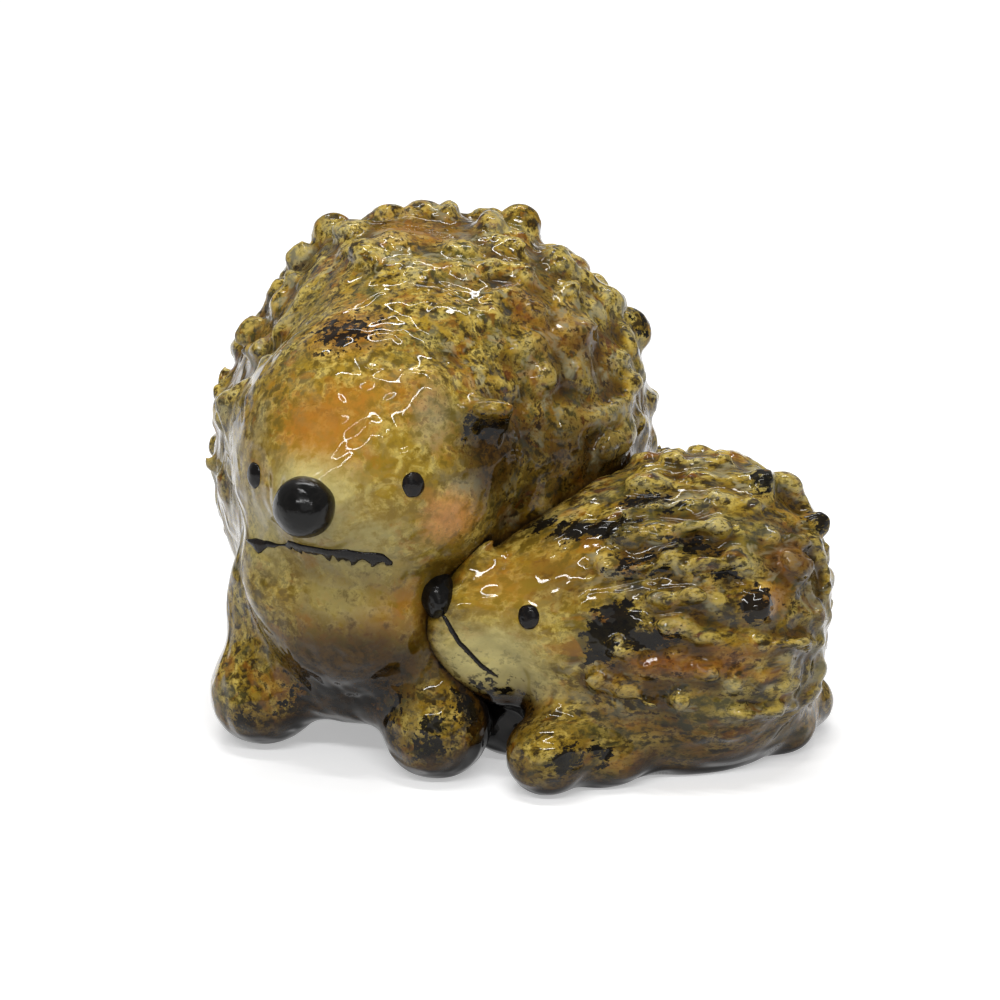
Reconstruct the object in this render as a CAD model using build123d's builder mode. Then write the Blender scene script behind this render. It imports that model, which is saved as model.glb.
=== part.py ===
from build123d import *
import math
import os

# Sizes are in millimetres and angles in degrees. The table is Z = 0 and the display front faces -Y.
# Clay
wall = 4.5  # slip-cast wall of both castings
slip_film = 0.05  # dried slip under each applied piece
vent_radius = 3.0  # firing vent through each foot

# Mother's domed back
dome_place = (-15.77, 9.66)
dome_radius = 41.5
dome_waist = 48.0  # height of its widest level
dome_height = 92.5
dome_foot_radius = 22.0
dome_foot_slope = 1.3  # rise of the flank beside the foot, for each step out
body_turn = 27.0  # to her right of the display front

# Mother's head
head_bearing = 18.7  # of its middle from the middle of the back, to her right of the display front
head_sink = 11.84  # of its middle in the back, from the widest level
head_height = 56.0
head_turn = 24.0  # to her right of the display front
head_roll = 4.0  # her left side raised
head_radius = 27.5
nape_angle = 140.0  # from the muzzle line, where the head ends inside the back
brow_angle = 29.0  # from the muzzle line, where the muzzle leaves the round of the head
muzzle_reach = 31.5  # from the middle of the head to the muzzle tip
muzzle_bluntness = 7.0  # pull of its curve at the tip
muzzle_slope = 3.0  # pull of its curve at the brow
nape_blend = 14.0

# Mother's breast
breast_radius = 16.5
breast_reach = 5.5  # its middle ahead of the middle of the head
breast_height = 29.0

# Mother's face
nose_radius = 5.8
nose_stand = 1.0  # middle of the nose ball ahead of the muzzle tip
eye_radius = 2.4
eye_sink = 1.2  # middle of the bead under the face
eye_spread = {"right": 32.0, "left": 38.5}  # from the muzzle line
eye_rise = 7.5  # above the level of the muzzle line, seen from the front
mouth_points = ((-15.5, -12.7), (-9.0, -11.2), (-2.0, -10.4), (5.5, -11.3), (11.5, -12.4))  # to her left, up
mouth_width = 1.7
mouth_depth = 1.2
ear_radius = 4.4
ear_thickness = 3.4
ear_round = 1.4
ear_spread = 75.0
ear_rise = 20.0
ear_stand = 1.8  # middle of the flap outside the head

# Mother's forelegs
paw_reach = 10.5  # ahead of the middle of the head
paw_spread = {"right": 19.4, "left": 17.2}  # to each side
paw_radius = 10.3
paw_height = 9.3  # its middle, so that its sole is flat
foreleg_length = 21.0  # from the middle of the paw to the middle of the shoulder end
foreleg_lean = 27.0  # from upright towards the back
shoulder_radius = 7.0

# Young
young_bearing = -61.2  # of its middle from the middle of the back, as the head's
young_stand = 12.83  # of its middle outside the back, from the widest level
young_height = 23.0
young_turn = 70.0  # to its right of the display front
young_tilt = 13.0  # snout lifted to its mother
young_radius = 30.5
young_rump = 25.0  # from the middle of the body to its back end
young_reach = 50.0  # from the middle of the body to the snout tip
young_back_pull = 22.0  # pull of its outline along the back
snout_bluntness = 9.0  # pull of its outline at the snout tip

# Young's face
young_nose_radius = 4.0
young_nose_rise = 2.2  # middle of the nose ball above the snout line
young_eye_radius = 2.2
young_eye_sink = 1.2
young_eye_run = 86.0  # along the outline from the rump
young_eye_roll = 83.0  # from straight up to its left
young_mouth_points = ((49.0, -4.0), (44.5, -8.8), (39.0, -12.5))  # ahead, up
young_mouth_width = 0.9
young_mouth_depth = 0.9

# Young's paw
young_paw_reach = 34.5  # ahead of the middle of the body
young_paw_side = 17.5  # to its left
young_paw_radius = 7.9
young_paw_height = 7.4
young_paw_length = 8.0
young_paw_lean = 50.0
young_shoulder_radius = 6.0

# Clay points of the coats
spine_sides = 6
spine_gap = 0.5  # least gap beside a point
spine_pitch = 6.9
spine_radius = 2.9
spine_tip_radius = 1.2
spine_height = 2.8
hem_height = 27.0  # lowest seat of the mother's coat
nape_bare = 3.0  # bare band round her head
bib_half_angle = 62.0  # bare breast under the head, to each side
tall_spine_seats = ((24.0, 98.0), (22.0, -158.0), (46.0, -124.0))  # down from the crown, turned to her right
tall_spine_radius = 3.4
tall_spine_tip_radius = 1.5
tall_spine_height = 6.0
young_spine_pitch = 5.7
young_spine_radius = 2.3
young_spine_tip_radius = 0.9
young_spine_height = 2.2
young_row_count = 12
young_row_pitch = 13.0
young_first_roll = -38.0  # of the row beside the mother, from straight up
young_coat_run = 72.0  # front edge of the coat, along the outline from the rump


def heading(turn):
    """Level direction that is faced after turning this far to the right of the display front."""
    return Vector(-math.sin(math.radians(turn)), -math.cos(math.radians(turn)), 0)


def side_plane(place, height, turn, tilt=0.0):
    """Upright plane through an animal's middle: its X runs forward, its Y up."""
    forward = heading(turn)
    left = Vector(0, 0, 1).cross(forward)
    forward = forward * math.cos(math.radians(tilt)) + Vector(0, 0, math.sin(math.radians(tilt)))
    return Plane(origin=(*place, height), x_dir=forward, z_dir=-left)


def front_plane(side, roll=0.0):
    """Plane across an animal's middle: its X runs to the left, which the roll raises, its Z forward."""
    left = side.y_dir * math.sin(math.radians(roll)) - side.z_dir * math.cos(math.radians(roll))
    return Plane(origin=side.origin, x_dir=left, z_dir=side.x_dir)


def quarter(start, corner, end):
    """Quarter of an ellipse whose end tangents meet in the corner."""
    bulge = 4 / 3 * (math.sqrt(2) - 1)
    start, corner, end = Vector(start), Vector(corner), Vector(end)
    return Bezier(start, start + (corner - start) * bulge, end + (corner - end) * bulge, end)


head_place = tuple(Vector(*dome_place) + heading(head_bearing) * (dome_radius - head_sink))[:2]
young_place = tuple(Vector(*dome_place) + heading(young_bearing) * (dome_radius + young_stand))[:2]
dome_side = side_plane(dome_place, 0, body_turn + 180)  # turned from the rump, clear of the head
head_side = side_plane(head_place, head_height, head_turn)
head_front = front_plane(head_side, head_roll)
young_side = side_plane(young_place, young_height, young_turn, young_tilt)
young_front = front_plane(young_side)
young_open_side = Plane(young_side.origin, young_side.x_dir, young_front.y_dir)  # level, clear of the table


def dome_outline(inset):
    """Outline of the mother's back from the crown down to the foot, this deep in the clay."""
    radius = dome_radius - inset
    height = dome_height - inset
    foot_radius = dome_foot_radius + inset * (1 - math.hypot(1, dome_foot_slope)) / dome_foot_slope
    with BuildLine() as line:
        quarter((0, height), (radius, height), (radius, dome_waist))
        Spline((radius, dome_waist), (foot_radius, inset), tangents=[(0, -1), (-1, -dome_foot_slope)])
    return line.wire()


def head_outline(inset):
    """Outline of the mother's head from the nape forward to the muzzle tip, this deep in the clay."""
    reach = muzzle_reach - inset
    with BuildLine() as line:
        cranium = CenterArc((0, 0), head_radius - inset, nape_angle, brow_angle - nape_angle)
        brow = cranium @ 1
        Bezier(brow, brow + cranium % 1 * muzzle_slope, (reach, muzzle_bluntness), (reach, 0))
    return line.wire()


def young_outline(inset):
    """Outline of the young from the rump forward to the snout tip, this deep in the clay."""
    radius = young_radius - inset
    rump = young_rump - inset
    reach = young_reach - inset
    with BuildLine() as line:
        quarter((-rump, 0), (-rump, radius), (0, radius))
        Bezier((0, radius), (young_back_pull, radius), (reach, snout_bluntness - inset), (reach, 0))
    return line.wire()


def dome_clay(inset):
    """What lies this deep or deeper in the mother's back. A negative inset reaches out of it."""
    outline = dome_outline(inset)
    crown = outline @ 0
    foot = outline @ 1
    with BuildPart() as clay:
        with BuildSketch(dome_side):
            with BuildLine():
                add(outline)
                Polyline((foot.X, foot.Y), (0, foot.Y), (0, crown.Y))
            make_face()
        revolve(axis=Axis((*dome_place, 0), (0, 0, 1)))
    return clay.part


def head_clay(inset):
    """The same for the mother's head, turned about the line of her muzzle."""
    outline = head_outline(inset)
    nape = outline @ 0
    tip = outline @ 1
    with BuildPart() as clay:
        with BuildSketch(head_side):
            with BuildLine():
                add(outline)
                Polyline((tip.X, 0), (nape.X, 0), (nape.X, nape.Y))
            make_face()
        revolve(axis=Axis(head_side.origin, head_side.x_dir))
    return clay.part


def mother_clay(inset):
    """The same for the mother's back, head and breast in one, blended where back and head meet."""
    back = dome_clay(inset)
    head = head_clay(inset)
    breast_place = Vector(*head_place, breast_height) + heading(head_turn) * breast_reach
    breast = ball(breast_place, breast_radius - inset)
    with BuildPart() as clay:
        add(back)
        add(head)
        fillet(clay.edges(Select.NEW), nape_blend + inset)
        add(breast)
    return clay.part


def young_clay(inset):
    """The same for the young, turned about its own length and cut level with the table."""
    outline = young_outline(inset)
    with BuildPart() as clay:
        with BuildSketch(young_open_side):
            with BuildLine():
                add(outline)
                Line(outline @ 1, outline @ 0)
            make_face()
        revolve(axis=Axis(young_side.origin, young_side.x_dir))
        split(bisect_by=Plane.XY.offset(inset), keep=Keep.TOP)
    return clay.part


def head_seat(spread, rise, side):
    """Plane on the round of the mother's head, facing out: this far from the muzzle line, on that side."""
    across = head_front.x_dir * (side * math.cos(math.radians(rise)))
    across = across + head_front.y_dir * math.sin(math.radians(rise))
    out = head_front.z_dir * math.cos(math.radians(spread)) + across * math.sin(math.radians(spread))
    return Plane(origin=head_front.origin + out * head_radius, x_dir=head_front.z_dir.cross(out), z_dir=out)


def dome_seat(run, turn):
    """Plane on the mother's back, facing out: this far down from the crown, turned to her right."""
    point = mother_run.position_at(run, position_mode=PositionMode.LENGTH)
    along = mother_run.tangent_at(run, position_mode=PositionMode.LENGTH)
    around = heading(body_turn + turn)
    up = Vector(0, 0, 1)
    origin = Vector(*dome_place, 0) + around * point.X + up * point.Y
    out = up * along.X - around * along.Y
    return Plane(origin=origin, x_dir=around * along.X + up * along.Y, z_dir=out)


def young_seat(run, roll):
    """Plane on the young, facing out: this far forward from the rump, rolled to its left from straight up."""
    point = young_run.position_at(run, position_mode=PositionMode.LENGTH)
    along = young_run.tangent_at(run, position_mode=PositionMode.LENGTH)
    forward = young_front.z_dir
    around = young_front.y_dir * math.cos(math.radians(roll))
    around = around + young_front.x_dir * math.sin(math.radians(roll))
    origin = young_front.origin + forward * point.X + around * point.Y
    out = around * along.X - forward * along.Y
    return Plane(origin=origin, x_dir=forward * along.X + around * along.Y, z_dir=out)


def ball(centre, radius):
    """Ball of dark glaze or clay."""
    with BuildPart(Plane(origin=centre)) as bead:
        Sphere(radius)
    return bead.part


def mouth_fill(plane, points, width, reach, clay, core):
    """Glaze that follows the points over the clay, as deep as the core lies in it."""
    with BuildPart() as fill:
        with BuildSketch(plane):
            with BuildLine():
                Spline(*points)
            trace(line_width=width)
        extrude(amount=reach)
        add(clay, mode=Mode.INTERSECT)
        add(core, mode=Mode.SUBTRACT)
    return fill.part


def ear_flap(seat, carrier):
    """Rounded flap that stands out of the head, face forward."""
    side = Plane(origin=seat.origin + seat.z_dir * ear_stand, x_dir=seat.z_dir, z_dir=head_front.z_dir)
    with BuildPart() as flap:
        with BuildSketch(side):
            Circle(ear_radius)
        extrude(amount=ear_thickness / 2, both=True)
        fillet(flap.edges().filter_by(GeomType.CIRCLE), ear_round)
        add(carrier, mode=Mode.SUBTRACT)
    return flap.part


def leg_pad(place, height, radius, towards, lean, length, end_radius, carriers):
    """Teardrop pad, flat on the table, whose thin end leans towards a place and is luted to its carriers."""
    level = (Vector(*towards, 0) - Vector(*place, 0)).normalized()
    rise = level * math.sin(math.radians(lean)) + Vector(0, 0, math.cos(math.radians(lean)))
    side = Plane(origin=(*place, height), x_dir=rise, z_dir=level.cross(Vector(0, 0, 1)))
    with BuildPart() as pad:
        with BuildSketch(side):
            Circle(radius)
            with Locations((length, 0)):
                Circle(end_radius)
            make_hull()
            split(bisect_by=Plane.XZ, keep=Keep.TOP)
        revolve(axis=Axis(side.origin, side.x_dir))
        split(bisect_by=Plane.XY, keep=Keep.TOP)
        add(carriers, mode=Mode.SUBTRACT)
    return pad.part


def clay_point(radius, tip_radius, height):
    """One pulled clay point on a seat at the origin."""
    with BuildPart() as point:
        with BuildSketch(Plane.XY.offset(slip_film)):
            RegularPolygon(radius, spine_sides)
        with BuildSketch(Plane.XY.offset(height)):
            RegularPolygon(tip_radius, spine_sides)
        loft(ruled=True)
    return point.part


def is_near(piece, box, place, reach):
    """Whether a place lies in a piece or within this reach of it."""
    below = place - box.min
    above = box.max - place
    if min(below.X, below.Y, below.Z, above.X, above.Y, above.Z) < -reach:
        return False
    return piece.distance_to(place) < reach


def is_clear(seat, radius, height, others, taken):
    """Whether a point on this seat stands clear of the other pieces and of the points placed so far."""
    reach = radius + spine_gap
    if any((place - seat.origin).length < reach + other_radius for place, other_radius in taken):
        return False
    ends = (seat.origin, seat.origin + seat.z_dir * height)
    return not any(is_near(piece, box, end, reach) for piece, box in others for end in ends)


def with_boxes(*pieces):
    """Each piece's solid and the box round it."""
    return [(piece.solid(), piece.bounding_box()) for piece in pieces]


def spine_row(point, seats):
    """One row of points."""
    with BuildPart() as row:
        with Locations(*seats):
            add(point)
    return row.part


def write(piece, name):
    """Name a finished piece and write it."""
    piece.label = name
    export_step(piece, f"parts/{name}.step")


os.makedirs("parts", exist_ok=True)
sides = {"right": -1, "left": 1}

# Forms and outlines that the pieces share
mother_run = dome_outline(0)
young_run = young_outline(0)
mother_form = mother_clay(0)
mother_cover = mother_clay(-slip_film)
young_form = young_clay(0)
young_cover = young_clay(-slip_film)

# Mother's nose, eyes and mouth, each with its socket in the casting
nose_centre = head_front.origin + head_front.z_dir * (muzzle_reach + nose_stand)
write(ball(nose_centre, nose_radius), "mother_nose")
mother_sockets = [ball(nose_centre, nose_radius + slip_film)]
for name, side in sides.items():
    seat = head_seat(eye_spread[name], eye_rise, side)
    eye_centre = seat.origin - seat.z_dir * eye_sink
    write(ball(eye_centre, eye_radius), f"mother_{name}_eye")
    mother_sockets.append(ball(eye_centre, eye_radius + slip_film))
head_form = head_clay(0)
head_cover = head_clay(-slip_film)
mouth_bed = head_clay(mouth_depth)
groove_bed = head_clay(mouth_depth + slip_film)
groove_width = mouth_width + 2 * slip_film
mouth = mouth_fill(head_front, mouth_points, mouth_width, muzzle_reach, head_form, mouth_bed)
groove = mouth_fill(head_front, mouth_points, groove_width, muzzle_reach, head_cover, groove_bed)
write(mouth, "mother_mouth")
mother_sockets.append(groove)

# Mother's casting, back and head in one
mother_core = mother_clay(wall)
with BuildPart() as mother_body:
    add(mother_form)
    add(mother_core, mode=Mode.SUBTRACT)
    with Locations((*dome_place, 0)):
        Cylinder(vent_radius, wall, align=(Align.CENTER, Align.CENTER, Align.MIN), mode=Mode.SUBTRACT)
    add(mother_sockets, mode=Mode.SUBTRACT)
write(mother_body.part, "mother_body")

# Mother's ears and forelegs
mother_pads = []
for name, side in sides.items():
    ear = ear_flap(head_seat(ear_spread, ear_rise, side), mother_cover)
    write(ear, f"mother_{name}_ear")
    paw = Vector(*head_place, 0) + dome_side.z_dir * (side * paw_spread[name]) - dome_side.x_dir * paw_reach
    foreleg = leg_pad(
        (paw.X, paw.Y), paw_height, paw_radius, dome_place, foreleg_lean, foreleg_length, shoulder_radius,
        [mother_cover, young_cover],
    )
    write(foreleg, f"mother_{name}_foreleg")
    mother_pads.extend([ear, foreleg])

# Young's nose, eye and mouth, each with its socket in the casting
young_nose_centre = young_front.origin + young_front.z_dir * young_reach + young_front.y_dir * young_nose_rise
young_nose_ball = ball(young_nose_centre, young_nose_radius)
with BuildPart() as young_nose:
    add(young_nose_ball)
    add(mother_cover, mode=Mode.SUBTRACT)
write(young_nose.part, "young_nose")
seat = young_seat(young_eye_run, young_eye_roll)
young_eye_centre = seat.origin - seat.z_dir * young_eye_sink
write(ball(young_eye_centre, young_eye_radius), "young_left_eye")
mouth_bed = young_clay(young_mouth_depth)
groove_bed = young_clay(young_mouth_depth + slip_film)
groove_width = young_mouth_width + 2 * slip_film
mouth = mouth_fill(young_side, young_mouth_points, young_mouth_width, -young_radius, young_form, mouth_bed)
groove = mouth_fill(young_side, young_mouth_points, groove_width, -young_radius, young_cover, groove_bed)
with BuildPart() as young_mouth:
    add(mouth)
    add(mother_cover, mode=Mode.SUBTRACT)
write(young_mouth.part, "young_mouth")
young_sockets = [
    ball(young_nose_centre, young_nose_radius + slip_film),
    ball(young_eye_centre, young_eye_radius + slip_film),
    groove,
]

# Young's casting, luted to the mother's flank
young_core = young_clay(wall)
mother_reach = [dome_clay(-wall), head_clay(-wall)]
with BuildPart() as young_hollow:
    add(young_core)
    add(mother_reach, mode=Mode.SUBTRACT)
with BuildPart() as young_body:
    add(young_form)
    add(mother_cover, mode=Mode.SUBTRACT)
    add(young_hollow.part, mode=Mode.SUBTRACT)
    with Locations((*young_place, 0)):
        Cylinder(vent_radius, wall, align=(Align.CENTER, Align.CENTER, Align.MIN), mode=Mode.SUBTRACT)
    add(young_sockets, mode=Mode.SUBTRACT)
write(young_body.part, "young_body")

# Young's paw
young_left = -young_side.z_dir
young_paw = Vector(*young_place, 0) + heading(young_turn) * young_paw_reach + young_left * young_paw_side
young_pad = leg_pad(
    (young_paw.X, young_paw.Y), young_paw_height, young_paw_radius, young_place, young_paw_lean,
    young_paw_length, young_shoulder_radius, [young_cover],
)
write(young_pad, "young_left_paw")

# Mother's coat: tall points first, then rings from the crown down to the hem
tall_point = clay_point(tall_spine_radius, tall_spine_tip_radius, tall_spine_height)
tall_seats = [dome_seat(run, turn) for run, turn in tall_spine_seats]
write(spine_row(tall_point, tall_seats), "mother_tall_spines")
taken = [(seat.origin, tall_spine_radius) for seat in tall_seats]
short_point = clay_point(spine_radius, spine_tip_radius, spine_height)
neighbours = with_boxes(head_clay(-nape_bare), young_form, *mother_pads)
run = spine_pitch / 2
row = 0
while dome_seat(run, 0).origin.Z > hem_height:
    girth = 2 * math.pi * mother_run.position_at(run, position_mode=PositionMode.LENGTH).X
    count = round(girth / spine_pitch)
    seats = []
    for step in range(count):
        turn = (step + row % 2 / 2) * 360 / count
        seat = dome_seat(run, turn)
        from_front = abs((turn + 180) % 360 - 180)
        if from_front < bib_half_angle and seat.origin.Z < head_height:
            continue
        if is_clear(seat, spine_radius, spine_height, neighbours, taken):
            seats.append(seat)
            taken.append((seat.origin, spine_radius))
    row += 1
    write(spine_row(short_point, seats), f"mother_spine_row_{row:02}")
    run += spine_pitch

# Young's coat: lengthwise rows from the mother's side down to the hem
young_point = clay_point(young_spine_radius, young_spine_tip_radius, young_spine_height)
neighbours = with_boxes(mother_form, young_pad)
for row in range(young_row_count):
    roll = young_first_roll + row * young_row_pitch
    run = young_spine_pitch * (1 + row % 2 / 2)
    seats = []
    while run < young_coat_run:
        seat = young_seat(run, roll)
        if is_clear(seat, young_spine_radius, young_spine_height, neighbours, taken):
            seats.append(seat)
            taken.append((seat.origin, young_spine_radius))
        run += young_spine_pitch
    write(spine_row(young_point, seats), f"young_spine_row_{row + 1:02}")
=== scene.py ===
import math

import bmesh
import bpy
import numpy as np
from mathutils import Matrix, Vector, kdtree, noise
from mathutils.bvhtree import BVHTree


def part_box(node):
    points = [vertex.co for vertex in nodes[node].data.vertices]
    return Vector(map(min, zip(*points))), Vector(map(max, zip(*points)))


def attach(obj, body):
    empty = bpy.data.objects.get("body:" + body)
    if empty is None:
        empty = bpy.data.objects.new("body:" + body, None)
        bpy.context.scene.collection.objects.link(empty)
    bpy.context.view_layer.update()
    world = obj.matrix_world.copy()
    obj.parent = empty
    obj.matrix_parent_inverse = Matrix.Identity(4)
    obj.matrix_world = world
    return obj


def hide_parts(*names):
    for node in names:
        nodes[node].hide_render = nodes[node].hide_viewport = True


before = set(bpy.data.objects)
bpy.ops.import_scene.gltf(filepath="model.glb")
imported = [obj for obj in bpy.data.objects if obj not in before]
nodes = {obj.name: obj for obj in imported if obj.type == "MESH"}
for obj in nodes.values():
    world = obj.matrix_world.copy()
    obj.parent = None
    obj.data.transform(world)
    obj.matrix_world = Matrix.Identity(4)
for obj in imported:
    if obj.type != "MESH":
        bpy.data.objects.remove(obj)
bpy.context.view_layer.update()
mm = 0.001
print("frame loaded:", len(nodes), "nodes")


def link(name, data):
    obj = bpy.data.objects.new(name, data)
    bpy.context.scene.collection.objects.link(obj)
    return obj


def bake(obj):  # evaluated copy of an object's mesh, the object is dropped
    bpy.context.view_layer.update()
    mesh = bpy.data.meshes.new_from_object(obj.evaluated_get(bpy.context.evaluated_depsgraph_get()))
    bpy.data.objects.remove(obj)
    return mesh


def middle(name):
    low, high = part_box(name)
    return (low + high) / 2


def toMesh(bm, name):
    mesh = bpy.data.meshes.new(name)
    bm.to_mesh(mesh)
    bm.free()
    return mesh


def islands(bm):  # connected groups of vertices, in file order
    seen = set()
    groups = []
    for first in bm.verts:
        if first in seen:
            continue
        seen.add(first)
        group = [first]
        for vert in group:
            for edge in vert.link_edges:
                other = edge.other_vert(vert)
                if other not in seen:
                    seen.add(other)
                    group.append(other)
        groups.append(group)
    return groups


def spread(group):
    co = np.array([v.co for v in group])
    return float(np.prod(co.max(0) - co.min(0)))


def keepLargest(bm):
    groups = islands(bm)
    largest = max(groups, key=spread)
    extra = [v for g in groups if g is not largest for v in g]
    bmesh.ops.delete(bm, geom=extra, context="VERTS")


castingRules = {"weld": 1e-6, "ventSlope": 0.3, "ventTop": 6 * mm}


def mergedCopy(name):
    bm = bmesh.new()
    bm.from_mesh(nodes[name].data)
    bmesh.ops.remove_doubles(bm, verts=bm.verts, dist=castingRules["weld"])
    return bm


def isVent(face):  # upright wall close to the foot
    low = max(v.co.z for v in face.verts) < castingRules["ventTop"]
    return low and abs(face.normal.z) < castingRules["ventSlope"]


def outerWall(name):  # a hollow casting without its inside, vent closed
    bm = mergedCopy(name)
    bmesh.ops.delete(bm, geom=[f for f in bm.faces if isVent(f)], context="FACES")
    keepLargest(bm)
    bmesh.ops.holes_fill(bm, edges=[e for e in bm.edges if e.is_boundary], sides=0)
    return toMesh(bm, name + "Outer")


def pad(at, radii, turn=0.0, lean=0.0):  # soft clay pad, sizes in mm, turns in degrees
    bm = bmesh.new()
    place = Matrix.Translation(Vector(at) * mm) @ Matrix.Rotation(math.radians(turn), 4, "Z")
    place = place @ Matrix.Rotation(math.radians(lean), 4, "X")
    place = place @ Matrix.Diagonal((*(Vector(radii) * mm), 1))
    bmesh.ops.create_icosphere(bm, subdivisions=4, radius=1, matrix=place)
    return toMesh(bm, "pad")


def voxelUnion(meshes, voxel):
    bm = bmesh.new()
    for mesh in meshes:
        bm.from_mesh(mesh)
    obj = link("union", toMesh(bm, "union"))
    remesh = obj.modifiers.new("remesh", "REMESH")
    remesh.mode = "VOXEL"
    remesh.voxel_size = voxel
    bm = bmesh.new()
    bm.from_mesh(bake(obj))
    keepLargest(bm)
    return toMesh(bm, "skin")


def readPoints(mesh):
    co = np.empty(len(mesh.vertices) * 3)
    mesh.vertices.foreach_get("co", co)
    return co.reshape(-1, 3)


def readNormals(mesh):
    out = np.empty(len(mesh.vertices) * 3)
    mesh.vertex_normals.foreach_get("vector", out)
    return out.reshape(-1, 3)


def readEdges(mesh):
    ends = np.empty(len(mesh.edges) * 2, dtype=int)
    mesh.edges.foreach_get("vertices", ends)
    return ends.reshape(-1, 2)


def writePoints(mesh, co):
    mesh.vertices.foreach_set("co", np.asarray(co, dtype=float).ravel())
    mesh.update()


def around(values, edges):  # mean of each vertex's neighbours
    count = len(values)
    a, b = edges.T
    degree = np.bincount(a, minlength=count) + np.bincount(b, minlength=count)
    columns = values.reshape(count, -1)
    sums = [np.bincount(a, c[b], count) + np.bincount(b, c[a], count) for c in columns.T]
    return (np.stack(sums, 1) / np.maximum(degree, 1)[:, None]).reshape(values.shape)


poolRules = {"fill": 0.7, "castWear": 0.12, "skinWear": 0.15, "refresh": 6}  # shares of a pull, passes


def poolGlaze(mesh, passes, wear):  # wet glaze fills hollows and hardly wears the crests
    edges = readEdges(mesh)
    co = readPoints(mesh)
    for step in range(passes):
        if step % poolRules["refresh"] == 0:
            writePoints(mesh, co)
            out = readNormals(mesh)
        pull = around(co, edges) - co
        filling = np.einsum("ij,ij->i", pull, out) > 0
        co = co + pull * np.where(filling, poolRules["fill"], wear)[:, None]
    co[:, 2] = np.maximum(co[:, 2], 0)
    writePoints(mesh, co)


def noiseSpot(point, size, seed):  # each seed reads another part of the noise
    return Vector(point) / size + Vector((seed * 7.3, seed * 3.1, seed * 5.7))


def ripple(co, size, seed):  # soft three-dimensional noise, -1 to 1
    return np.array([noise.noise(noiseSpot(p, size, seed)) for p in co])


def billow(co, size, seed):  # rounded lumps between sharp creases, about -0.5 to 0.5
    return np.array([noise.turbulence(noiseSpot(p, size, seed), 3, True) for p in co]) - 0.5


def storeMask(mesh, name, values):
    mask = mesh.attributes.new(name, "FLOAT", "POINT")
    mask.data.foreach_set("value", np.asarray(values, dtype=np.float32))


def spineSeats(prefix):  # foot, outward direction and size of each clay point of the frame
    feet, outs, sizes, rows = [], [], [], []
    for row, name in enumerate(sorted(n for n in nodes if n.startswith(prefix))):
        bm = mergedCopy(name)
        for group in islands(bm):
            flats = {}  # area and faces by facing
            for face in dict.fromkeys(f for v in group for f in v.link_faces):
                flat = flats.setdefault(tuple(round(c, 2) for c in face.normal), [0.0, []])
                flat[0] += face.calc_area()
                flat[1].append(face)
            sole = max(flats.values(), key=lambda flat: flat[0])[1]
            foot = np.mean([f.calc_center_median() for f in sole], axis=0)
            out = -np.array(sole[0].normal)
            feet.append(foot)
            outs.append(out)
            sizes.append(max(np.dot(np.array(v.co) - foot, out) for v in group))
            rows.append(row)
        bm.free()
    return np.array(feet), np.array(outs), np.array(sizes), np.array(rows)


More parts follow.
